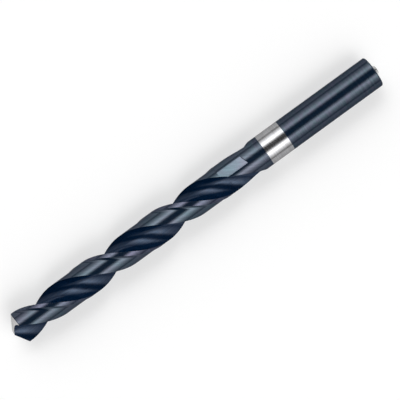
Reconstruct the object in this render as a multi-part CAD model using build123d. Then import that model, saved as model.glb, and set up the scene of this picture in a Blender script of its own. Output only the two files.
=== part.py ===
from build123d import *
import os
from math import acos, asin, atan2, cos, hypot, pi, radians, sin, sqrt, tan

# A jobber-length twist drill: one bar of high-speed steel with two right-hand
# helical flutes, a ground point and a plain cylindrical shank.
# The drill lies along +X. The origin is the centre of the shank's end face,
# +X runs from the shank to the point, and +Z is up.
# Lengths are in millimetres and angles in degrees.

# Bar, which narrows evenly by its back taper from the point to the shank
drill_diameter = 10.0
back_taper = 0.04
body_length = 131.9
neck_length = 1.5
shank_chamfer = 0.3

# Male centre on the end of the shank
centre_height = 1.1
centre_tip_diameter = 2.3
centre_angle = 60.0

# Flutes
flute_lead = 50.2
flute_length = 89.4
web_thickness = 1.6
web_growth = 0.012

# Run-out, where the grinding wheel backs out of the flute
runout_length = 10.8
steady_lift = 0.64
final_sweep = 3.3
lift_direction = 100.3

# Lands, which widen towards the neck, up to a place before the flutes' end
land_angle = 79.5
neck_land_angle = 87.5
widening_length = 15.5
widening_end = 7.5

# Margins, and the clearance ground behind them with a round-cornered wheel,
# which stops before the flutes' end and leaves a flat as wide as itself
margin_width = 1.3
land_clearance = 0.25
wheel_corner_radius = 2.8
wheel_corner_dip = 0.04
clearance_end = 3.6
clearance_wheel_width = 9.3
clearance_wheel_angle = -10.2

# Point
point_angle = 118.0
lip_angle = 174.0
lip_relief = 11.0
chisel_slope = 0.45
flank_fall = 0.033

# Working sizes that follow from the sizes above
radius = drill_diameter / 2
shank_radius = radius - back_taper / 2
cleared_radius = radius - land_clearance
half_web = web_thickness / 2
lip_reach = sqrt(radius ** 2 - half_web ** 2)
lip_rise = 1 / tan(radians(point_angle / 2))
lip_edge = asin(half_web / radius)
turn_per_mm = 2 * pi / flute_lead
corner_relief = tan(radians(lip_relief)) - lip_rise * half_web / radius
flank_twist = (chisel_slope - corner_relief) / lip_reach
lip_origin = body_length + chisel_slope * half_web + flank_fall * half_web ** 2
corner_x = lip_origin - lip_rise * lip_reach
flute_end_x = body_length - flute_length
shank_length = flute_end_x - neck_length
runout_start_x = flute_end_x + runout_length
widening_end_x = flute_end_x + widening_end
clearance_end_x = flute_end_x + clearance_end
flat_end_x = clearance_end_x + clearance_wheel_width
blank_end_x = body_length + half_web

# Room that each grinding cut takes outside the bar
spare = 0.3 * radius

# How finely the helical cuts are guided
turn_per_station = radians(30.0)
runout_stations = 8
rake_points = 4


def bar_radius_at(x):
    """The body's full radius, which narrows from the point to the shank."""
    share = (x - shank_length) / (corner_x - shank_length)
    return shank_radius + (radius - shank_radius) * share


def half_web_at(x):
    """Half of the web's thickness, which grows from the point to the shank."""
    return half_web + web_growth / 2 * (body_length - x)


def land_angle_at(x):
    """Angle that one land takes up, which widens smoothly into the neck."""
    share = (widening_end_x + widening_length - x) / widening_length
    share = min(1.0, max(0.0, share))
    return land_angle + (neck_land_angle - land_angle) * share ** 2 * (3 - 2 * share)


def lift_at(x):
    """How far the wheel has backed out of the flute at x."""
    if x >= runout_start_x:
        return 0.0
    share = (runout_start_x - x) / runout_length
    sweep = steady_lift * share + (1 - steady_lift) * share ** final_sweep
    return (radius - half_web_at(x)) * sweep


def stations(start, end, count):
    return [start + (end - start) * step / count for step in range(count + 1)]


def helix_stations(start, end):
    """Places along the bar, one for each step of the helix's turn."""
    count = round((end - start) * turn_per_mm / turn_per_station)
    return stations(start, end, max(2, count))


def polar(distance, angle):
    return (distance * cos(angle), distance * sin(angle))


def turn_at(x):
    """Direction of the first lip's side of the drill, turned with the helix."""
    return radians(lip_angle) + turn_per_mm * (x - corner_x)


def on_helix(point, x):
    """A point of a cross-section, turned with the helix and placed at x.

    Cross-sections are drawn as they stand at the lips' outer corners, with
    the first lip's direction as their own first axis.
    """
    turn = turn_at(x)
    y = point[0] * cos(turn) - point[1] * sin(turn)
    z = point[0] * sin(turn) + point[1] * cos(turn)
    return Vector(x, y, z)


def rake_angle(distance, web):
    """Angle of the flute's cutting face at a distance from the axis.

    The face is the one that meets the flank of the point in a straight lip.
    """
    reach = sqrt(max(0.0, distance ** 2 - web ** 2))
    return asin(min(1.0, web / distance)) - turn_per_mm * lip_rise * (lip_reach - reach)


def rake_line(web):
    """Points of the cutting face, from outside the bar in to the web."""
    outer_reach = sqrt((radius + spare) ** 2 - web ** 2)
    shares = stations(1.0, 0.0, rake_points - 1)
    distances = [hypot(web, outer_reach * share) for share in shares]
    return [polar(distance, rake_angle(distance, web)) for distance in distances]


def flute_section(x):
    """Closed outline of what the wheel takes out of the bar at x."""
    web = half_web_at(x)
    lift = polar(lift_at(x), radians(lift_direction))
    rake = rake_line(web)
    floor_start = rake[-1]
    heading = atan2(floor_start[1], floor_start[0]) + pi / 2
    heel = polar(cleared_radius, lip_edge + pi - radians(land_angle_at(x)))
    run = (heel[0] - floor_start[0], heel[1] - floor_start[1])
    bend = heading - atan2(run[1], run[0])
    floor_radius = hypot(*run) / (2 * sin(bend))
    arrow = polar(floor_radius, heading - pi / 2)
    back = polar(floor_radius, heading + pi / 2 - bend)
    floor_middle = [floor_start[i] + arrow[i] + back[i] for i in (0, 1)]
    exit_run = polar(2 * spare, heading - 2 * bend)
    mouth = (heel[0] + exit_run[0], heel[1] + exit_run[1])

    def place(point):
        return on_helix((point[0] + lift[0], point[1] + lift[1]), x)

    face = Edge.make_spline([place(point) for point in rake])
    floor = Edge.make_three_point_arc(place(floor_start), place(floor_middle), place(heel))
    leaving = Edge.make_line(place(heel), place(mouth))
    closing = Edge.make_line(place(mouth), place(rake[0]))
    return Wire([face, floor, leaving, closing])


def flute_waste():
    """What grinding one flute takes off the bar, up to its run-out."""
    full = helix_stations(runout_start_x, blank_end_x + spare)
    past_end = flute_end_x - runout_length / runout_stations / 2
    fading = stations(past_end, runout_start_x, runout_stations)
    return [Solid.make_loft([flute_section(x) for x in part]) for part in (fading, full)]


def wheel_corner(x):
    """Arc of the clearance wheel's corner, from under the land to outside the bar.

    It meets the bar's full radius at the back edge of the margin.
    """
    full = bar_radius_at(x)
    bottom = full - land_clearance - wheel_corner_dip
    middle = bottom + wheel_corner_radius
    reach = (middle ** 2 + full ** 2 - wheel_corner_radius ** 2) / (2 * middle * full)
    start = lip_edge - margin_width / radius - acos(reach)
    centre = polar(middle, start)
    rise = acos((middle - full * reach) / wheel_corner_radius)
    turns = [start + pi - share * rise for share in (0, 0.6, 1.2)]
    return [tuple(centre[i] + polar(wheel_corner_radius, turn)[i] for i in (0, 1)) for turn in turns]


def margin_section(x):
    """Wedge that holds the margin and reaches from it into the open flute."""
    front = lip_edge + radians(180 - land_angle) / 2
    corner = wheel_corner(x)
    foot = polar(cleared_radius - spare, atan2(corner[0][1], corner[0][0]))
    outside = polar(radius + 2 * spare, front)
    inside = polar(cleared_radius - spare, front)
    path = [on_helix(point, x) for point in (corner[2], outside, inside, foot, corner[0])]
    arc = Edge.make_three_point_arc(*[on_helix(point, x) for point in corner])
    return Wire([arc] + [Edge.make_line(*ends) for ends in zip(path, path[1:])])


def margin():
    """The narrow strip of full diameter behind one cutting edge."""
    places = helix_stations(flat_end_x - spare, blank_end_x + spare)
    wedge = Solid.make_loft([margin_section(x) for x in places])
    return wedge & tapered_bar(flat_end_x, blank_end_x, 0)


def across(x):
    """The plane square to the drill's axis at x, facing the point."""
    return Plane(origin=(x, 0, 0), x_dir=(0, 1, 0), z_dir=(1, 0, 0))


def tapered_bar(start, end, clearance):
    """A length of the body before its flutes are ground."""
    start_radius = bar_radius_at(start) - clearance
    end_radius = bar_radius_at(end) - clearance
    return Solid.make_cone(start_radius, end_radius, end - start, across(start))


def shank():
    """Plain round bar with a chamfered end, for a chuck to grip."""
    bar = Solid.make_cylinder(shank_radius, shank_length, across(0))
    rim = bar.edges().sort_by(Axis.X)[0]
    return bar.chamfer(shank_chamfer, None, [rim])


def flats():
    """The length of bar where the clearance wheels stopped.

    Each of the two lands has a flat there, as wide as the wheel, and the bar
    keeps its full radius beside the flats.
    """
    direction = turn_at(clearance_end_x) + radians(clearance_wheel_angle)
    normal = Vector(0, *polar(1, direction))
    axis = Plane(origin=(clearance_end_x, 0, 0), x_dir=(1, 0, 0), z_dir=normal)
    centred = (Align.MIN, Align.CENTER, Align.CENTER)
    width = 2 * (radius + spare)
    block = Box(clearance_wheel_width, width, 2 * cleared_radius, align=centred)
    return axis * block & tapered_bar(clearance_end_x, flat_end_x, 0)


def male_centre():
    """Truncated cone left by turning between centres."""
    tip_radius = centre_tip_diameter / 2
    base_radius = tip_radius + centre_height * tan(radians(centre_angle / 2))
    return Solid.make_cone(tip_radius, base_radius, centre_height, across(-centre_height))


def flank_height(along, sideways):
    """Height of a flank above the place where its lip's line meets the axis."""
    behind = sideways - half_web
    slope = chisel_slope - flank_twist * along
    return -lip_rise * along + slope * behind - flank_fall * behind ** 2


def flank_curve(along, reach):
    """The flank's line at one distance along the lip, which is a parabola."""
    first = flank_height(along, -reach)
    last = flank_height(along, reach)
    pull = (first + last) / 2 + 2 * flank_fall * reach ** 2
    points = [Vector(first, along, -reach), Vector(pull, along, 0), Vector(last, along, reach)]
    return Edge.make_bezier(*points)


def flank_waste():
    """What grinding one flank takes off the end of the bar."""
    reach = radius + spare
    surface = Face.make_surface_from_curves(flank_curve(-reach, reach), flank_curve(reach, reach))
    waste = Solid.extrude(surface, Vector(8 * radius, 0, 0))
    return waste.rotate(Axis.X, lip_angle).moved(Location((lip_origin, 0, 0)))


def both_sides(solids):
    """The solids, and their copies half a turn round the axis."""
    return [solid.rotate(Axis.X, side) for solid in solids for side in (0, 180)]


def drill_bit():
    neck = tapered_bar(shank_length, clearance_end_x, 0)
    core = tapered_bar(flat_end_x, blank_end_x, land_clearance)
    blank = core.fuse(flats(), neck, shank(), *both_sides([margin()]))
    fluted = blank.cut(*both_sides(flute_waste()))
    pointed = fluted.cut(*both_sides([flank_waste()]))
    return pointed.fuse(male_centre())


os.makedirs("parts", exist_ok=True)
part = drill_bit()
export_step(part, "parts/drill_bit.step")
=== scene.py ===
# %% [markdown]
# # A jobber-length twist drill
#
# The real thing is one bar of high-speed steel. Two helical flutes are ground
# into it, then the point, and steam tempering leaves it blue-black. A ring on
# the shank, the flanks of the point and the small centre on the shank's end are
# ground afterwards, so they are bright.
#
# The frame holds the drill as a solid of the right size. New materials on that
# solid would be the quick way. But its facets are coarse, and polished steel
# shows every facet in its reflections. So this lesson models one fine mesh that
# stands for the solid, with a clean grid of quads that runs along the helix.

# %% Load the solid as a fixed frame
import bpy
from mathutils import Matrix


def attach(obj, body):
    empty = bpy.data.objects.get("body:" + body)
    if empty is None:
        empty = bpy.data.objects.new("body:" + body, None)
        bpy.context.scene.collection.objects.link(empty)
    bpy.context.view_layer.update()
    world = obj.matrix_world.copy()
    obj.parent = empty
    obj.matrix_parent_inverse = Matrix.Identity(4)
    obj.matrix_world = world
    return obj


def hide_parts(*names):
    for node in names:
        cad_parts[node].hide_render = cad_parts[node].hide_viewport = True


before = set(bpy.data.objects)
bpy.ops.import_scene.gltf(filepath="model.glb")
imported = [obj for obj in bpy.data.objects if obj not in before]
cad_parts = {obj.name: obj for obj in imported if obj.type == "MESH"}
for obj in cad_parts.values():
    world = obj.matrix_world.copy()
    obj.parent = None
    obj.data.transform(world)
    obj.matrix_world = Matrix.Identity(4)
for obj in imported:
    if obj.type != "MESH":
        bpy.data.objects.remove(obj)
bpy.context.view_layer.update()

print("the frame holds", sorted(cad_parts))

# %% Libraries
from math import acos, asin, ceil, hypot, pi, radians, sin, sqrt, tan

import bmesh
import bpy
import numpy as np
from mathutils import Vector

mm = 0.001
print("one millimetre is", mm, "Blender units")

# %% [markdown]
# ## Sizes
#
# These are the sizes of the real drill, in millimetres, with angles turned to
# radians where they are written. The drill lies along X, with the shank's end at
# 0 and the point at +X. Blender works in metres, so a length is multiplied by mm
# when a point is placed.

# %% The bar, and the centre on its end
drill_diameter = 10.0
back_taper = 0.04
body_length = 131.9
neck_length = 1.5
shank_chamfer = 0.3

centre_height = 1.1
centre_tip_diameter = 2.3
centre_angle = radians(60.0)
print("overall length:", body_length + centre_height, "mm")

# %% The flutes and their run-out, where the wheel backs out of the steel
flute_lead = 50.2
flute_length = 89.4
web_thickness = 1.6
web_growth = 0.012

runout_length = 10.8
steady_lift = 0.64
final_sweep = 3.3
lift_direction = radians(100.3)
print("flutes take up", round(flute_length / body_length, 2), "of the length")

# %% The lands, their margins and the clearance between them
land_angle = radians(79.5)
neck_land_angle = radians(87.5)
widening_length = 15.5
widening_end = 7.5

margin_width = 1.3
land_clearance = 0.25
wheel_corner_radius = 2.8
clearance_end = 3.6
clearance_wheel_width = 9.3
clearance_wheel_angle = radians(-10.2)
print("the lands lie", land_clearance, "mm below the margins")

# %% The point, and the bright ring on the shank
point_angle = radians(118.0)
lip_angle = radians(174.0)
lip_relief = radians(11.0)
chisel_slope = 0.45
flank_fall = 0.033

band_start = 32.4
band_end = 40.0
print("the ring is", round(band_end - band_start, 1), "mm wide")

# %% Sizes that follow from these
radius = drill_diameter / 2
shank_radius = radius - back_taper / 2
cleared_radius = radius - land_clearance
half_web = web_thickness / 2
lip_reach = sqrt(radius ** 2 - half_web ** 2)
lip_rise = 1 / tan(point_angle / 2)
lip_edge = asin(half_web / radius)
turn_per_mm = 2 * pi / flute_lead
corner_relief = tan(lip_relief) - lip_rise * half_web / radius
flank_twist = (chisel_slope - corner_relief) / lip_reach
lip_origin = body_length + chisel_slope * half_web + flank_fall * half_web ** 2
corner_x = lip_origin - lip_rise * lip_reach
flute_stop_x = body_length - flute_length
shank_length = flute_stop_x - neck_length
runout_start_x = flute_stop_x + runout_length
widening_end_x = flute_stop_x + widening_end
clearance_end_x = flute_stop_x + clearance_end
flat_end_x = clearance_end_x + clearance_wheel_width
bar_end_x = body_length + half_web
spare = 0.3 * radius
print("outer corners of the lips at", round(corner_x, 2), "mm")

# %% [markdown]
# ## The cross-section
#
# Cut square across, the drill shows two flutes, half a turn apart. Each flute
# has a cutting face that curves in to the web, then a round floor that runs out
# to the heel. Between the heel and the next cutting edge is the land, and the
# narrow margin at its front is the only part of full diameter.
#
# The section could be drawn by hand as a curve. It is worked out by formulas
# instead, because it changes all along the bar: the web thickens towards the
# shank, and the flutes fade out there. The same formulas shaped the solid, so
# the fine mesh fits it.
#
# One complex number, y + z i, stands for a point of the section. A turn of the
# section is then one multiplication.

# %% Sizes that change along the bar
def smooth(share):
    """A soft step from 0 to 1."""
    share = min(1.0, max(0.0, share))
    return share ** 2 * (3 - 2 * share)


def bar_radius_at(x):
    """Full radius of the bar, which narrows a little towards the shank."""
    share = max(0.0, (x - shank_length) / (corner_x - shank_length))
    return shank_radius + (radius - shank_radius) * share


def half_web_at(x):
    return half_web + web_growth / 2 * (body_length - x)


def land_angle_at(x):
    """Angle that one land takes up, which widens smoothly into the neck."""
    widened = smooth((widening_end_x + widening_length - x) / widening_length)
    return land_angle + (neck_land_angle - land_angle) * widened


def lift_at(x):
    """How far the grinding wheel has backed out of the flute."""
    if x >= runout_start_x:
        return 0.0
    share = (runout_start_x - x) / runout_length
    sweep = steady_lift * share + (1 - steady_lift) * share ** final_sweep
    return (radius - half_web_at(x)) * sweep


print("web at the flutes' end:", round(2 * half_web_at(flute_stop_x), 2), "mm")

# %% Directions in the section
def ray(angle):
    """The point at distance 1 in a direction."""
    return np.exp(1j * np.asarray(angle))


def turn_at(x):
    """How far the helix has turned the section."""
    return lip_angle + turn_per_mm * (x - corner_x)


def angle_of(point, x):
    """Direction of a point, counted on from the turn of the helix at x."""
    return float(np.angle(point * ray(-turn_at(x)))) + turn_at(x)


print("turns of the helix:", round(flute_length / flute_lead, 2))

# %% The wall of one flute, from outside its cutting edge to outside its heel
def flute_line(x, points=200):
    web = half_web_at(x)
    reach = np.linspace(sqrt((radius + spare) ** 2 - web ** 2), 0, points)
    distance = np.hypot(web, reach)
    rake_angle = np.arcsin(web / distance) - turn_per_mm * lip_rise * (lip_reach - reach)
    rake = distance * ray(rake_angle)

    heading = np.angle(rake[-1]) + pi / 2
    heel = cleared_radius * ray(lip_edge + pi - land_angle_at(x))
    run = heel - rake[-1]
    bend = heading - np.angle(run)
    floor_radius = abs(run) / (2 * sin(bend))
    centre = rake[-1] + floor_radius * ray(heading - pi / 2)
    around = np.linspace(0, 2 * bend, points)
    floor = centre + floor_radius * ray(heading + pi / 2 - around)
    way_out = heel + ray(heading - 2 * bend) * np.linspace(0, 2 * spare, points)

    line = np.concatenate([rake, floor[1:], way_out[1:]])
    return (line + lift_at(x) * ray(lift_direction)) * ray(turn_at(x))


floor_distance = abs(flute_line(corner_x)).min()
print("a flute comes within", round(float(floor_distance), 2), "mm of the axis")

# %% [markdown]
# ## The end of the clearance
#
# The lands are ground a quarter of a millimetre below the margins. Near the
# shank the wheel that does it stops, and leaves a step across the land and a
# flat as wide as the wheel. Beside the flat the land keeps the bar's full
# radius. In the photograph the flat is the palest patch on the neck.
#
# A Boolean could cut the flat. It would break the grid of quads there, and the
# polish would show it. So the flat is part of the formula for the land's radius,
# and the rings of points lean with the step, which runs slightly askew.

# %% Radius of the land at an angle round the bar
flat_angle = turn_at(clearance_end_x) + clearance_wheel_angle
flat_half_angle = acos(1 - land_clearance / radius)
step_width = 0.1


def from_flat(angle):
    """Angle from the middle of the nearer flat."""
    return angle - flat_angle - pi * np.round((angle - flat_angle) / pi)


def land_radius(x, angle):
    full = bar_radius_at(x)
    cleared = full - land_clearance
    if x > flat_end_x:
        return cleared + 0 * angle
    aside = from_flat(angle)
    flat = np.minimum(full, cleared / np.cos(np.clip(aside, -1, 1)))
    above = np.clip((clearance_end_x - x) / step_width + 0.5, 0, 1)
    return flat + (full - flat) * above


print("width of a flat:", round(2 * radius * sin(flat_half_angle), 2), "mm")

# %% How far the rings lean where the step is
step_lean = 1.44
lean_reach = 3.0


def lean_at(x, lines, angles):
    """How far the land's points move along X, so the rings lean with the step."""
    across_flat = step_lean * 2 * flat_half_angle
    places = [lines[1], lines[2], lines[3], lines[5]]
    leans = np.interp(angles, places, [0, across_flat, across_flat, 0])
    return leans * smooth(1 - abs(x - clearance_end_x) / lean_reach)


print("lean across a flat:", round(step_lean * 2 * flat_half_angle, 2), "mm")

# %% [markdown]
# ## The corner of the clearance wheel
#
# The wheel that cleared the land had a rounded corner, so the land climbs to
# the margin in a hollow curve. A sharp step would be simpler. But the hollow's
# slope turns the reflections: in the photograph this strip is bright where the
# land is dark, and dark where the land is bright. So the arc is modelled.

# %% Radius along the hollow, from its foot up to the margin's back edge
hollow_centre = cleared_radius + wheel_corner_radius
hollow_reach = (hollow_centre ** 2 + radius ** 2 - wheel_corner_radius ** 2) / (
    2 * hollow_centre * radius
)
hollow_angle = acos(hollow_reach)


def hollow_radius(x, from_foot):
    """Distance of the hollow from the axis at an angle on from its foot."""
    centre = bar_radius_at(x) - land_clearance + wheel_corner_radius
    aside = centre * np.sin(from_foot)
    return centre * np.cos(from_foot) - np.sqrt(wheel_corner_radius ** 2 - aside ** 2)


print("width of the hollow:", round(hollow_angle * cleared_radius, 2), "mm")

# %% [markdown]
# ## One ring of the mesh
#
# Every ring has the same number of points, and a point of a given number always
# lies on the same feature, such as the cutting edge or the foot of the hollow.
# Joined up, these points make lines that follow the helix, so the edges of the
# drill stay crisp. Rings of evenly spaced points would be easier to make, but
# they would cut across the edges and leave them jagged. Where a flute has faded
# out, its points spread over the round bar.

# %% How many points each feature gets
wall_points = 46
land_counts = {"heel": 10, "flat": 8, "land": 10, "hollow": 8, "margin": 6}
half_points = wall_points + sum(land_counts.values())
ring_points = 2 * half_points
hollow_first = land_counts["heel"] + land_counts["flat"] + land_counts["land"]
margin_first = hollow_first + land_counts["hollow"]
print("points in a ring:", ring_points)


# %% The flute's wall between its two edges
def spread(start, end, count):
    """Evenly spaced values that leave the end to what comes next."""
    return start + (end - start) * np.arange(count) / count


def open_wall(x, heel_steps=6):
    """Points of the flute's wall, and the angles of the cutting edge and the heel."""
    line = flute_line(x)
    low = int(np.argmin(abs(line)))
    inward, outward = line[low::-1], line[low:]
    full = bar_radius_at(x)
    edge = np.interp(full, abs(inward), inward)
    heel = np.interp(full, abs(outward), outward)
    for _ in range(heel_steps):
        limit = float(land_radius(x, angle_of(heel, x)))
        heel = np.interp(limit, abs(outward), outward)
    inner = inward[abs(inward) < abs(edge)][::-1]
    outer = outward[abs(outward) < abs(heel)][1:]
    path = np.concatenate([[edge], inner, outer, [heel]])
    way = np.concatenate([[0], np.cumsum(abs(np.diff(path)))])
    wall = np.interp(spread(0, way[-1], wall_points), way, path)
    return wall, angle_of(edge, x), angle_of(heel, x)


_, edge_angle, heel_angle = open_wall(corner_x)
print("a flute is open over", round(np.degrees(heel_angle - edge_angle)), "degrees")


# %% Where the flutes have faded out
def find_flute_end(halvings=40, before_neck=2):
    low, high = shank_length - before_neck, runout_start_x
    for _ in range(halvings):
        middle = (low + high) / 2
        faded = abs(flute_line(middle)).min() > bar_radius_at(middle)
        low, high = (middle, high) if faded else (low, middle)
    return high


flute_end_x = find_flute_end()
last_line = flute_line(flute_end_x)
closing_angle = angle_of(last_line[np.argmin(abs(last_line))], flute_end_x)
print("flutes fade out at", round(flute_end_x, 2), "mm")


# %% The closed wall, where the points of a faded flute part again
spread_length = 8.0
least_half_span = 0.03


def closed_wall(x):
    even_half_span = pi * wall_points / half_points / 2
    half_span = even_half_span * smooth((flute_end_x - x) / spread_length)
    half_span = max(least_half_span, half_span)
    edge, heel = closing_angle - half_span, closing_angle + half_span
    return bar_radius_at(x) * ray(spread(edge, heel, wall_points)), edge, heel


print("its points are even again at", round(flute_end_x - spread_length, 2), "mm")

# %% Four lines that a ring keeps to between the heel and the next cutting edge
even_shares = np.cumsum(list(land_counts.values())[:-1]) / sum(land_counts.values())
flats_behind_heel = ceil((open_wall(clearance_end_x)[2] - flat_angle) / pi)
flat_ahead = flat_angle + pi * flats_behind_heel
least_gap = 0.03
least_width = 0.04
last_start = 0.9


def line_shares(x, heel, span):
    """Places of the flat's two edges, the hollow's foot and the margin's back.

    They run from 0 at the heel to 1 at the cutting edge. Where a line isn't
    needed, it keeps away from its neighbours and goes back to an even place.
    """
    near = (flat_ahead - flat_half_angle - heel) / span
    near = np.clip(near, least_gap, last_start)
    far = (flat_ahead + flat_half_angle - heel) / span
    far = np.clip(far, near + least_width, 1 - least_gap)
    back = (lip_edge + pi - margin_width / radius + turn_at(x) - heel) / span
    foot = back - hollow_angle / span
    if x > flat_end_x:
        even = foot * even_shares[:2] / even_shares[2]
        fade = smooth((x - flat_end_x) / spread_length)
        near, far = np.array([near, far]) * (1 - fade) + even * fade
        return np.array([near, far, foot, back])
    behind_far = (even_shares[2:] - even_shares[1]) / (1 - even_shares[1])
    foot = max(foot, far + (1 - far) * behind_far[0])
    back = max(back, far + (1 - far) * behind_far[1])
    fade = smooth((clearance_end_x - x) / (clearance_end_x - flute_end_x))
    return np.array([near, far, foot, back]) * (1 - fade) + even_shares * fade


print("even places of the lines:", even_shares.round(2))


# %% All the points of a ring
def ring(x):
    """Places along X and, as complex numbers, the outline of one ring."""
    full = bar_radius_at(x)
    wall, edge, heel = open_wall(x) if x > flute_end_x else closed_wall(x)
    span = edge + pi - heel
    lines = heel + span * np.array([0, *line_shares(x, heel, span), 1])
    parts = zip(lines, lines[1:], land_counts.values())
    angles = np.concatenate([spread(*part) for part in parts])
    distances = land_radius(x, angles)
    if x > flat_end_x:
        hollow = slice(hollow_first, margin_first)
        distances[hollow] = np.minimum(full, hollow_radius(x, angles[hollow] - lines[3]))
        distances[margin_first:] = full
    half = np.concatenate([wall, distances * ray(angles)])
    along = x + np.concatenate([np.zeros(wall_points), lean_at(x, lines, angles)])
    return np.tile(along, 2), np.concatenate([half, -half])


print("widest point of a ring:", round(float(abs(ring(corner_x)[1]).max()), 2), "mm")

# %% [markdown]
# ## How pale the oxide is
#
# The steam's oxide isn't equally dark everywhere. It is darkest on the shank and
# in the flutes, paler on the neck and the lands, and palest on the flats. More
# materials could show that, but each would end in a jagged line where it meets
# the next. So a number at each point of the mesh carries the tone. It blends
# softly along the bar, and changes sharply where the points lie close, at the
# step.

# %% The tone at each point of a ring
body_tone = 0.3
flat_tone = 0.6
flat_fade = 0.6
flat_blend_depth = 0.03


def tone(x, outline):
    body = smooth((x - band_end) / (flute_stop_x - band_end))
    tones = np.full(ring_points, 1 + body_tone * body)
    if x < flat_end_x:
        depth = np.clip((bar_radius_at(x) - abs(outline)) / flat_blend_depth, 0, 1)
        fade = 1 - flat_fade * smooth((x - clearance_end_x) / clearance_wheel_width)
        tones += flat_tone * depth * fade
    in_wall = np.arange(ring_points) % half_points
    tones[(in_wall > 0) & (in_wall < wall_points)] = 1
    return tones


print("tone from", 1.0, "on the shank to", 1 + body_tone + flat_tone, "on the flats")


# %% [markdown]
# ## Where the rings stand
#
# Rings at equal distances would be simplest, but they would be too few at the
# step or too many on the plain shank. So each stretch of the bar has its own
# spacing. It is closest where a flute opens and where the clearance stops.

# %% Spacing of the rings, and their places along the bar
shank_spacing = 4
band_rings = 16
body_spacing = 0.3
neck_spacing = 0.15
step_spacing = 0.04
step_before, step_after = 0.2, 1.1
opening_length, opening_rings = 0.8, 12
end_gap = 0.01


def stations():
    """Places of the rings, close together where the shape changes fast."""
    step_start, step_end = clearance_end_x - step_before, clearance_end_x + step_after
    shank = [shank_chamfer, *np.arange(shank_spacing, band_start, shank_spacing)]
    band = np.linspace(band_start, band_end, band_rings)
    closing = np.arange(band_end + body_spacing, flute_end_x, body_spacing)
    shares = np.arange(1, opening_rings + 1) / opening_rings
    opening = flute_end_x + opening_length * shares ** 2
    neck = np.arange(opening[-1] + neck_spacing, step_start, neck_spacing)
    step = np.arange(step_start, step_end, step_spacing)
    flats = np.arange(step_end + step_width, flat_end_x - 2 * end_gap, neck_spacing)
    end = [flat_end_x - end_gap, flat_end_x + end_gap]
    body = np.arange(flat_end_x + neck_spacing, bar_end_x, body_spacing)
    parts = [shank, band, closing, opening, neck, step, flats, end, body, [bar_end_x]]
    return np.concatenate(parts)


ring_places = stations()
print("rings:", len(ring_places))

# %% [markdown]
# ## Sweeping the ring along the helix
#
# A ground flute is a screw surface, so the Screw modifier is the natural tool.
# It takes a circle along the bar while turning it, and leaves rings of quads. A
# circle could also be swept along a curve that tilts as it goes, but the modifier
# needs only an axis, a length and an angle. Each ring then takes its own outline.
#
# An operator acts on all that is selected, so everything is deselected first.

# %% Helpers for selecting
def select_nothing():
    bpy.ops.object.select_all(action="DESELECT")


def select_only(piece):
    select_nothing()
    piece.select_set(True)
    bpy.context.view_layer.objects.active = piece


def select_verts(piece, wanted):
    """Enters edit mode with the vertices selected whose place passes a test."""
    bpy.ops.object.mode_set(mode="EDIT")
    bpy.ops.mesh.select_mode(type="VERT")
    bpy.ops.mesh.select_all(action="DESELECT")
    cage = bmesh.from_edit_mesh(piece.data)
    for vert in cage.verts:
        if wanted(vert.co):
            vert.select_set(True)
    cage.select_flush(True)
    bmesh.update_edit_mesh(piece.data)


def apply_modifiers(piece):
    select_only(piece)
    for modifier in list(piece.modifiers):
        bpy.ops.object.modifier_apply(modifier=modifier.name)


select_nothing()
print("selected now:", len(bpy.context.selected_objects), "objects")

# %% A circle taken along the bar by the Screw modifier
bpy.ops.mesh.primitive_circle_add(
    vertices=ring_points,
    radius=radius * mm,
    location=(0, 0, 0),
    rotation=(0, pi / 2, 0),
)
drill = bpy.context.object
drill.name = "drill"
bpy.ops.object.transform_apply(location=True, rotation=True, scale=True)

length = ring_places[-1] - ring_places[0]
screw = drill.modifiers.new("helix", "SCREW")
screw.axis = "X"
screw.screw_offset = length * mm
screw.angle = length * turn_per_mm
screw.steps = screw.render_steps = len(ring_places) - 1
screw.use_smooth_shade = True
apply_modifiers(drill)
print("vertices after the sweep:", len(drill.data.vertices))

# %% Each ring takes its true outline
points = np.empty((len(ring_places), ring_points, 3))
tones = np.empty((len(ring_places), ring_points))
for number, x in enumerate(ring_places):
    along, outline = ring(x)
    points[number] = np.stack([along, outline.real, outline.imag], axis=1)
    tones[number] = tone(x, outline)
drill.data.vertices.foreach_set("co", (points * mm).ravel())
drill.data.update()
tone_layer = drill.data.attributes.new("tone", "FLOAT", "POINT")
tone_layer.data.foreach_set("value", tones.ravel())
print("tones from", tones.min().round(2), "to", tones.max().round(2))

# %% [markdown]
# ## Closing the ends
#
# The shank's end is turned: a small chamfer, a flat face, and a short truncated
# cone that the bar ran on between centres. A cylinder and a cone could be joined
# on by a Boolean. Here the last ring is extruded and scaled instead, once for
# each step, so the end stays one clean skin. The front end only needs a lid,
# because the point is cut next.

# %% The front lid
front = ring_places[-1] * mm
rear = ring_places[0] * mm
tiny = 1e-7
select_only(drill)
select_verts(drill, lambda place: place.x > front - tiny)
bpy.ops.mesh.edge_face_add()
bpy.ops.object.mode_set(mode="OBJECT")
print("faces with the lid:", len(drill.data.polygons))


# %% The turned end of the shank
def extrude_ring(x_from, x_to, radius_from, radius_to):
    """Extrudes the selected ring to another place along the axis and size."""
    bpy.ops.mesh.extrude_region_move(
        TRANSFORM_OT_translate={"value": ((x_to - x_from) * mm, 0, 0)}
    )
    size = radius_to / radius_from
    bpy.ops.transform.resize(
        value=(1, size, size), center_override=(x_to * mm, 0, 0), orient_type="GLOBAL"
    )


centre_tip = centre_tip_diameter / 2
centre_base = centre_tip + centre_height * tan(centre_angle / 2)
end_radius = shank_radius - shank_chamfer
select_verts(drill, lambda place: place.x < rear + tiny)
extrude_ring(shank_chamfer, 0, shank_radius, end_radius)
extrude_ring(0, 0, end_radius, centre_base)
extrude_ring(0, -centre_height, centre_base, centre_tip)
bpy.ops.mesh.edge_face_add()
bpy.ops.mesh.select_all(action="SELECT")
bpy.ops.mesh.normals_make_consistent(inside=False)
bpy.ops.object.mode_set(mode="OBJECT")
print("faces with the turned end:", len(drill.data.polygons))

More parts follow.
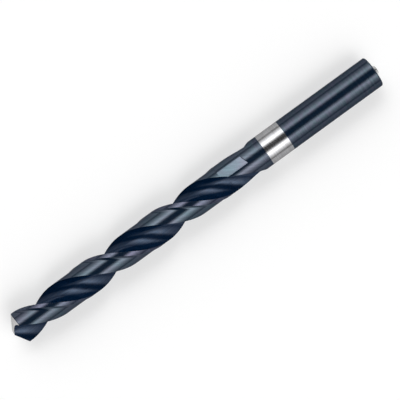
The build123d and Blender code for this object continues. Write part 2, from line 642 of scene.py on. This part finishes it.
# %% [markdown]
# ## Which finish each face gets
#
# One skin holds six finishes, as on the real drill. The parts could be split off
# into pieces of their own, but the tool is one bar, so it stays one mesh with
# six material slots. The lines of points mark the features, so a face's lowest
# point number tells what it is part of. The slots are set before the point is
# cut, because a Boolean keeps the slots of the faces that it leaves.

# %% Six slots
finish_titles = {
    "shank": "steam oxide on the ground shank",
    "flute": "steam oxide in the flutes",
    "land": "steam oxide on the lands",
    "margin": "steam oxide on the margins",
    "band": "bright ground ring",
    "flank": "bright ground point",
}
for title in finish_titles.values():
    drill.data.materials.append(bpy.data.materials.new(title))


def slot_of(finish):
    return list(finish_titles).index(finish)


print("slots:", len(drill.data.materials))

# %% The faces of the bar
margin_depth = 0.03


def column_of(face):
    """The lowest point number of a face, which says the feature it lies on."""
    numbers = [corner % half_points for corner in face.vertices]
    wraps = max(numbers) - min(numbers) > half_points / 2
    return max(numbers) if wraps else min(numbers)


def finish_of(face):
    x, y, z = face.center / mm
    in_end = max(face.vertices) >= len(ring_places) * ring_points
    if x < 0:
        return "flank"
    if band_start < x < band_end:
        return "band"
    if in_end or x < flute_end_x:
        return "shank"
    if column_of(face) < wall_points:
        return "flute"
    if hypot(y, z) < bar_radius_at(x) - margin_depth or x < flat_end_x:
        return "land"
    return "margin"


finishes = [finish_of(face) for face in drill.data.polygons]
for face, finish in zip(drill.data.polygons, finishes):
    face.material_index = slot_of(finish)
print({finish: finishes.count(finish) for finish in finish_titles})

# %% [markdown]
# ## Grinding the point
#
# Each flank of the point is a twisted, slightly domed surface that meets its
# flute in a straight lip and falls away behind it. The two flanks meet in the
# chisel edge. A plain cone would be a simpler tip. But a cone has no clearance
# behind its lips, so it would rub, and it ends in a needle instead of a chisel
# edge. So a grid is given the flank's true form and extruded into a block. A
# Boolean takes that block off the bar, as the grinding wheel does.

# %% A block with the flank's form
grid_lines = 52


def flank_height(along, sideways):
    """Height above the place where the lip's line meets the axis."""
    behind = sideways - half_web
    slope = chisel_slope - flank_twist * along
    return -lip_rise * along + slope * behind - flank_fall * behind ** 2


def flank_cutter(turn):
    """The block of steel that grinding one flank takes away."""
    reach = radius + spare
    depth = 4 * reach
    select_nothing()
    bpy.ops.mesh.primitive_grid_add(
        x_subdivisions=grid_lines,
        y_subdivisions=grid_lines,
        size=2 * reach * mm,
        location=(0, 0, 0),
    )
    cutter = bpy.context.object
    for vert in cutter.data.vertices:
        along, sideways = vert.co.x / mm, vert.co.y / mm
        place = (along + 1j * sideways) * ray(lip_angle + turn)
        height = lip_origin + flank_height(along, sideways)
        vert.co = Vector((height, place.real, place.imag)) * mm
    bpy.ops.object.mode_set(mode="EDIT")
    bpy.ops.mesh.select_all(action="SELECT")
    bpy.ops.mesh.extrude_region_move(TRANSFORM_OT_translate={"value": (depth * mm, 0, 0)})
    bpy.ops.mesh.select_all(action="SELECT")
    bpy.ops.mesh.normals_make_consistent(inside=False)
    bpy.ops.object.mode_set(mode="OBJECT")
    return cutter


print("a flank drops", round(-flank_height(lip_reach, half_web), 2), "mm to its corner")

# %% Both flanks are cut
for turn in (0, pi):
    cutter = flank_cutter(turn)
    for material in drill.data.materials:
        cutter.data.materials.append(material)
    for face in cutter.data.polygons:
        face.material_index = slot_of("flank")
    cut = drill.modifiers.new("flank", "BOOLEAN")
    cut.object = cutter
    cut.operation = "DIFFERENCE"
    cut.solver = "EXACT"
    apply_modifiers(drill)
    bpy.data.objects.remove(cutter)
print("faces after both cuts:", len(drill.data.polygons))

# %% [markdown]
# The cuts leave a few points on top of each other, so they are merged. Smooth
# shading is then limited to gentle angles, which keeps the lips, the edges of the
# margins and the chamfer sharp.

# %% Merging points and smoothing
merge_distance = 0.0005
sharp_angle = radians(15)
select_only(drill)
bpy.ops.object.mode_set(mode="EDIT")
bpy.ops.mesh.select_all(action="SELECT")
bpy.ops.mesh.remove_doubles(threshold=merge_distance * mm)
bpy.ops.object.mode_set(mode="OBJECT")
bpy.ops.object.shade_smooth_by_angle(angle=sharp_angle)
print("faces of the finished drill:", len(drill.data.polygons))

# %% [markdown]
# ## Its place in the frame
#
# The solid of the frame stays as it is, because its form must not be changed. The
# fine mesh is shown in its place, and rides on the same body.

# %% The drill stands for the solid
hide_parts("drill_bit")
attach(drill, "root")
print(drill.name, "replaces drill_bit and rides on root")

# %% [markdown]
# ## Finishes
#
# Steam tempering grows a thin skin of iron oxide on the ground steel. It is
# dark, a little blue and half glossy, and the grinding lines under it still
# show. Where the skin was ground off again, the steel is bright.
#
# The oxide could be one dark metal. But a metal that dark loses its blue in the
# shadows, where it has nothing to mirror. So it is two shaders mixed: a dark
# metal for the reflections, and under it a dull blue body that stays blue in the
# dark. All finishes share one recipe and differ in colour, gloss and the run of
# their grinding lines.

# %% Helpers for materials
def linear(hex_colour):
    """An sRGB hex colour as linear values."""
    values = [int(hex_colour[i:i + 2], 16) / 255 for i in (1, 3, 5)]
    return [v / 12.92 if v <= 0.04045 else ((v + 0.055) / 1.055) ** 2.4 for v in values] + [1]


def add_node(tree, kind, links=(), values=(), **settings):
    """Adds a node, sets its properties, fills its sockets and links its inputs."""
    node = tree.nodes.new(kind)
    for name, value in settings.items():
        setattr(node, name, value)
    for socket, value in dict(values).items():
        node.inputs[socket].default_value = value
    for socket, source in dict(links).items():
        output = source.outputs[0] if isinstance(source, bpy.types.Node) else source
        tree.links.new(output, node.inputs[socket])
    return node


def empty_tree(owner):
    """The node tree of a material or world, with nothing in it."""
    owner.use_nodes = True
    owner.node_tree.nodes.clear()
    return owner.node_tree


print("the blue body is", [round(value, 3) for value in linear("#042A47")])

# %% [markdown]
# ### Grinding lines
#
# A grinding wheel leaves fine parallel lines. They could be drawn with a wave
# texture, but real ones are uneven, so they are noise, squeezed along one axis.
# The patterns sit in Object coordinates, scaled to millimetres, so a line's width
# is a real width. Round grinding leaves lines that run round the bar. A flute and
# a land are ground along the helix, so their coordinates are turned back by the
# helix's turn at each place.
#
# Real lines are about 0.02 mm apart, which is far below a pixel. They are drawn
# 0.25 to 0.3 mm apart, so that they show.

# %% Lines per millimetre, along the drill and across it
round_lines = (3.5, 0.06)
helix_lines = (0.05, 4.0)
line_detail = 6
cloud_detail = 3
fine_share = 0.6
noise_ends = {"From Min": 0.3, "From Max": 0.7}


def pattern_place(tree, along_helix):
    """Object coordinates, turned back by the helix where the lines follow it."""
    place = add_node(tree, "ShaderNodeTexCoord").outputs["Object"]
    if not along_helix:
        return place
    parts = add_node(tree, "ShaderNodeSeparateXYZ", {0: place})
    per_metre = {1: -turn_per_mm / mm}
    turn = add_node(tree, "ShaderNodeMath", {0: parts}, per_metre, operation="MULTIPLY")
    links = {"Vector": place, "Angle": turn}
    return add_node(tree, "ShaderNodeVectorRotate", links, rotation_type="X_AXIS").outputs[0]


def uneven(tree, place, per_mm_along, per_mm_across, detail):
    """An uneven pattern from 0 to 1, with its grain given per millimetre."""
    grain = {1: (per_mm_along / mm, per_mm_across / mm, per_mm_across / mm)}
    scaled = add_node(tree, "ShaderNodeVectorMath", {0: place}, grain, operation="MULTIPLY")
    values = {"Scale": 1, "Detail": detail, "Roughness": fine_share}
    noise = add_node(tree, "ShaderNodeTexNoise", {"Vector": scaled}, values)
    return add_node(tree, "ShaderNodeMapRange", {"Value": noise}, noise_ends)


print("lines on the shank are", round(1 / round_lines[0], 2), "mm apart")

# %% [markdown]
# ### The parts of the recipe
#
# The colour drifts between two tints in soft clouds, as heat colours do, and the
# grinding lines make it lighter and darker. The lines vary the gloss too, and a
# bump of half a micron lets them catch the light. A Bevel node rounds the edges
# for the light alone, because even a sharp edge of steel has a fine bright line.

# %% Colour
def steel_colour(tree, place, lines, tints, tint_grain, contrast, toned):
    cloud = uneven(tree, place, tint_grain, tint_grain, cloud_detail)
    tint = add_node(tree, "ShaderNodeMix", {0: cloud}, data_type="RGBA")
    tint.inputs[6].default_value = linear(tints[0])
    tint.inputs[7].default_value = linear(tints[1])
    ends = {"To Min": 1 - contrast, "To Max": 1 + contrast}
    level = add_node(tree, "ShaderNodeMapRange", {"Value": lines}, ends)
    if toned:
        tone_at = add_node(tree, "ShaderNodeAttribute", attribute_name="tone").outputs["Fac"]
        links = {0: level, 1: tone_at}
        level = add_node(tree, "ShaderNodeMath", links, operation="MULTIPLY")
    links = {0: tint.outputs[2], "Scale": level}
    return add_node(tree, "ShaderNodeVectorMath", links, operation="SCALE")


print("a violet tint is", [round(value, 3) for value in linear("#494853")])

# %% Gloss and edges
edge_width = 0.04
edge_samples = 4
line_depth = 0.0005


def steel_surface(tree, lines, roughness):
    """Roughness and normal of ground steel, as links for a shader."""
    ends = {"To Min": roughness[0], "To Max": roughness[1]}
    rough = add_node(tree, "ShaderNodeMapRange", {"Value": lines}, ends)
    rounding = {"Radius": edge_width * mm}
    edge = add_node(tree, "ShaderNodeBevel", values=rounding, samples=edge_samples)
    links = {"Height": lines, "Normal": edge}
    bump = add_node(tree, "ShaderNodeBump", links, {"Distance": line_depth * mm})
    return {"Roughness": rough, "Normal": bump}


print("edges are rounded by", edge_width, "mm")

# %% The whole recipe
skin_share = 0.3
oxide_edge = "#B2B2B2"
bright_edge = "#D0D0D0"


def ground_steel(
    finish, tints, tint_grain, roughness, skin=None, along_helix=False, contrast=0.22
):
    """Fills a finish's material. Skin is the colour of the oxide's dull body."""
    material = drill.data.materials[slot_of(finish)]
    tree = empty_tree(material)
    place = pattern_place(tree, along_helix)
    lines = uneven(tree, place, *(helix_lines if along_helix else round_lines), line_detail)
    colour = steel_colour(tree, place, lines, tints, tint_grain, contrast, toned=bool(skin))
    surface = steel_surface(tree, lines, roughness)

    edge_tint = linear(oxide_edge if skin else bright_edge)
    values = {"Metallic": 1.0, "Specular Tint": edge_tint}
    links = {"Base Color": colour, **surface}
    shader = add_node(tree, "ShaderNodeBsdfPrincipled", links, values)
    if skin:
        values = {"Base Color": linear(skin), "Specular IOR Level": 0.0}
        body = add_node(tree, "ShaderNodeBsdfPrincipled", surface, values)
        shader = add_node(tree, "ShaderNodeMixShader", {1: shader, 2: body}, {0: skin_share})
    add_node(tree, "ShaderNodeOutputMaterial", {0: shader})
    print(material.name, "has", len(tree.nodes), "nodes")


print("the dull body's share is", skin_share)

# %% [markdown]
# ### The shank
#
# The shank is ground round between centres, and then oxidised by the steam. One
# plain dark metal could stand for it, but it would look painted. In the
# photograph the oxide wavers between a cold green-grey and a violet one, so two
# tints drift into each other over a millimetre or two.

# %% Steam oxide on the ground shank
# Half glossy, with fine lines round the bar, so the lights are soft but clear
ground_steel("shank", ("#3D484C", "#494853"), 0.6, (0.08, 0.2), "#042A47")

# %% [markdown]
# ### The flutes
#
# A flute is ground fast and deep, and isn't polished. It could share the shank's finish. But
# its lines follow the helix, and it is the bluest place of the photograph, so it has tints
# and a body of its own. Its dull body is partly the oxide's own blue and partly painted
# light: it is a little lighter than the shank's, to make up for the light that the deep
# hollow shuts out.

# %% Steam oxide in the flutes
# Duller than the shank, with bolder lines along the helix
# The dull body #052E55 is lighter than the shank's: painted light for the shade inside the
# hollow, over the oxide's own blue
ground_steel(
    "flute",
    ("#313A46", "#3A3F49"),
    0.6,
    (0.13, 0.24),
    "#052E55",
    along_helix=True,
    contrast=0.3,
)

# %% [markdown]
# ### The lands
#
# The lands are ground along the helix too, but more finely. With the flutes'
# finish they would look rough. Their colour drifts slowly, so the clouds of tint
# are about six millimetres wide.

# %% Steam oxide on the lands
# Clear reflections, between violet and green-grey
ground_steel("land", ("#484851", "#3F4B50"), 0.16, (0.1, 0.18), "#042A47", along_helix=True)

# %% [markdown]
# ### The margins
#
# A margin is what is left of the round bar, so it keeps lines that run round.
# It could share the lands' finish. But its lines lie across those of the land, so
# the two catch the light differently.

# %% Steam oxide on the margins
# As glossy as the lands, and a little more violet
ground_steel("margin", ("#484653", "#444952"), 0.16, (0.1, 0.18), "#042A47")

# %% [markdown]
# ### The bright steel
#
# Where the oxide was ground off, there is no dull body. Bare high-speed steel is
# a light, neutral grey metal. A mirror would be simpler, but the fine lines of
# the grinding blur what the real steel mirrors. In the photograph the ring is
# darker than the point, so its grey is deeper.

# %% Bright ground steel of the ring, the point and the centre
# Light grey and half glossy, with the lines showing
ground_steel("band", ("#97989B", "#9F9E9F"), 0.6, (0.15, 0.25))
ground_steel("flank", ("#CACACB", "#D2D1D0"), 0.6, (0.15, 0.25))

# %% [markdown]
# ## The floor
#
# The drill lies on white paper. Paper that is bright enough to look white would
# need more light than the drill should get. So the paper is a light grey that
# also glows a little, but only for what sees it: the camera, and the rays that
# metal mirrors or glass lets through. The glow itself lights nothing, and the
# drill's shadow stays on the paper. The paper reaches 15 metres each way, so a
# camera that looks down on the drill sees no edge of it.

# %% A sheet of white paper
floor_width = 30000.0
floor_middle = 60.0
select_nothing()
bpy.ops.mesh.primitive_plane_add(
    size=floor_width * mm, location=(floor_middle * mm, 0, -radius * mm)
)
floor = bpy.context.object
floor.name = "floor"
bpy.ops.object.transform_apply(location=True, rotation=True, scale=True)
paper = bpy.data.materials.new("white paper floor")
floor.data.materials.append(paper)
print("the floor lies at", -radius, "mm")

# %% Matt paper that glows for the eye alone
paper_glow = 0.42
tree = empty_tree(paper)
path = add_node(tree, "ShaderNodeLightPath").outputs
links = {0: path["Is Camera Ray"], 1: path["Is Glossy Ray"]}
seen = add_node(tree, "ShaderNodeMath", links, operation="ADD")
links = {0: seen, 1: path["Is Transmission Ray"]}
seen = add_node(tree, "ShaderNodeMath", links, operation="ADD")
glow = add_node(tree, "ShaderNodeMath", {0: seen}, {1: paper_glow}, operation="MULTIPLY")
values = {
    "Base Color": linear("#CBCBCB"),
    "Roughness": 0.9,
    "Specular IOR Level": 0.0,
    "Emission Color": linear("#FFFFFF"),
}
shader = add_node(tree, "ShaderNodeBsdfPrincipled", {"Emission Strength": glow}, values)
add_node(tree, "ShaderNodeOutputMaterial", {0: shader})
print(paper.name, "has", len(tree.nodes), "nodes")

# %% [markdown]
# ## The light
#
# Polished steel is mostly a picture of the room round it. In the photograph two
# bright stripes run along the shank, with a dark one between them. So the drill
# lay between two long softboxes, with a dark gap overhead. The stripes fade
# towards the point, so the boxes had an end there.
#
# Two area lamps could stand in for them, but their edges would be hard and all
# their brightness alike. Here the world itself is the studio. One curve says how
# bright it is at an angle from straight overhead, a second how that changes along
# the drill, and a third adds the pale walls behind. The boxes hang a degree to
# one side, as the stripes in the photograph do.

# %% How bright the studio is
brightest = 4.4
box_tilt = radians(1)
# Degrees from straight overhead, to either side of the drill
box_levels = [
    (0, 0.018), (16, 0.03), (25.5, 0.45), (32.5, 0.93), (40, 1.0), (48, 0.77),
    (56, 0.4), (64.5, 0.18), (72.8, 0.06), (81.5, 0), (180, 0),
]
wall_levels = [(0, 0), (48, 0), (60, 0.16), (74, 0.18), (90, 0.18), (180, 0.18)]
# Along the drill, from -1 beyond the shank to 1 beyond the point
length_levels = [
    (-1, 0.15), (-0.8, 0.24), (-0.68, 0.32), (-0.54, 0.48), (-0.38, 0.7), (-0.14, 0.98),
    (0.04, 1.0), (0.17, 0.8), (0.28, 0.35), (0.38, 0.16), (0.56, 0.13), (1, 0.1),
]
print("brightest at", max(box_levels, key=lambda step: step[1])[0], "degrees from overhead")

# %% The direction that a ray comes from
world = bpy.data.worlds.new("studio")
bpy.context.scene.world = world
tree = empty_tree(world)
direction = add_node(tree, "ShaderNodeTexCoord").outputs["Generated"]
parts = add_node(tree, "ShaderNodeSeparateXYZ", {0: direction}).outputs
links = {0: parts["Y"], 1: parts["Z"]}
around = add_node(tree, "ShaderNodeMath", links, operation="ARCTAN2")
tilted = add_node(tree, "ShaderNodeMath", {0: around}, {1: box_tilt}, operation="ADD")
aside = add_node(tree, "ShaderNodeMath", {0: tilted}, operation="ABSOLUTE")
half_turn_share = add_node(tree, "ShaderNodeMath", {0: aside}, {1: pi}, operation="DIVIDE")
halves = {1: 0.5, 2: 0.5}
length_share = add_node(
    tree, "ShaderNodeMath", {0: parts["X"]}, halves, operation="MULTIPLY_ADD"
)
print("nodes for the angle and the length:", len(tree.nodes))


# %% Curves of brightness, joined up to one level
def draw_levels(curve_node, steps):
    """Draws straight steps from pairs of a place and a level."""
    line = curve_node.mapping.curves[0]
    while len(line.points) < len(steps):
        line.points.new(0.5, 0.5)
    for point, place in zip(line.points, steps):
        point.location = place
        point.handle_type = "VECTOR"
    curve_node.mapping.update()


across_box = add_node(tree, "ShaderNodeFloatCurve", {"Value": half_turn_share})
along_box = add_node(tree, "ShaderNodeFloatCurve", {"Value": length_share})
walls = add_node(tree, "ShaderNodeFloatCurve", {"Value": half_turn_share})
draw_levels(across_box, [(angle / 180, level) for angle, level in box_levels])
draw_levels(along_box, [(place / 2 + 0.5, level) for place, level in length_levels])
draw_levels(walls, [(angle / 180, level) for angle, level in wall_levels])
links = {0: across_box, 1: along_box}
boxes = add_node(tree, "ShaderNodeMath", links, operation="MULTIPLY")
level = add_node(tree, "ShaderNodeMath", {0: boxes, 1: walls}, operation="ADD")
power = add_node(tree, "ShaderNodeMath", {0: level}, {1: brightest}, operation="MULTIPLY")
print("curves:", len([node for node in tree.nodes if node.type == "CURVE_FLOAT"]))

# %% [markdown]
# Near the horizon the studio is one plain wall, darker than the walls above it.
# The steel's edges mirror that place, and in the photograph a dark line runs
# along them. A camera at floor level sees it as a plain grey background.

# %% The wall near the horizon
wall_grey = 0.4
wall_height = {"From Min": 0.28, "From Max": 0.17}
low = add_node(tree, "ShaderNodeMapRange", {"Value": parts["Z"]}, wall_height)
links = {0: low, 2: power}
strength = add_node(tree, "ShaderNodeMix", links, {3: wall_grey}, data_type="FLOAT")
values = {"Color": linear("#FFFFFF")}
light = add_node(tree, "ShaderNodeBackground", {"Strength": strength}, values)
add_node(tree, "ShaderNodeOutputWorld", {0: light})
print(world.name, "has", len(tree.nodes), "nodes")

# %% [markdown]
# ## The camera
#
# The photograph looks straight down on the drill from about half a metre, as the
# slight bulge of the shank's end shows. Its frame fixes the scale, and the
# drill's axis runs through it at 36 degrees. The scene could be turned under the
# camera, but the drill has to stay in its own frame, so the camera is turned.

# %% A camera above the drill
pixels_per_mm = 3.374
picture_size = 400
view_width = picture_size / pixels_per_mm
camera_height = 500.0
# The place under the camera, along X and Y
aim = (63.98, 0.68)
axis_in_picture = radians(180 + 35.987)

camera_data = bpy.data.cameras.new("camera")
camera_data.lens = camera_data.sensor_width * camera_height / view_width
camera_data.clip_start = 10 * mm
camera = bpy.data.objects.new("camera", camera_data)
camera.location = Vector((*aim, camera_height)) * mm
camera.rotation_euler = (0, 0, -axis_in_picture)
bpy.context.scene.collection.objects.link(camera)
bpy.context.scene.camera = camera
bpy.context.scene.view_settings.view_transform = "Standard"
print("lens:", round(camera_data.lens), "mm")
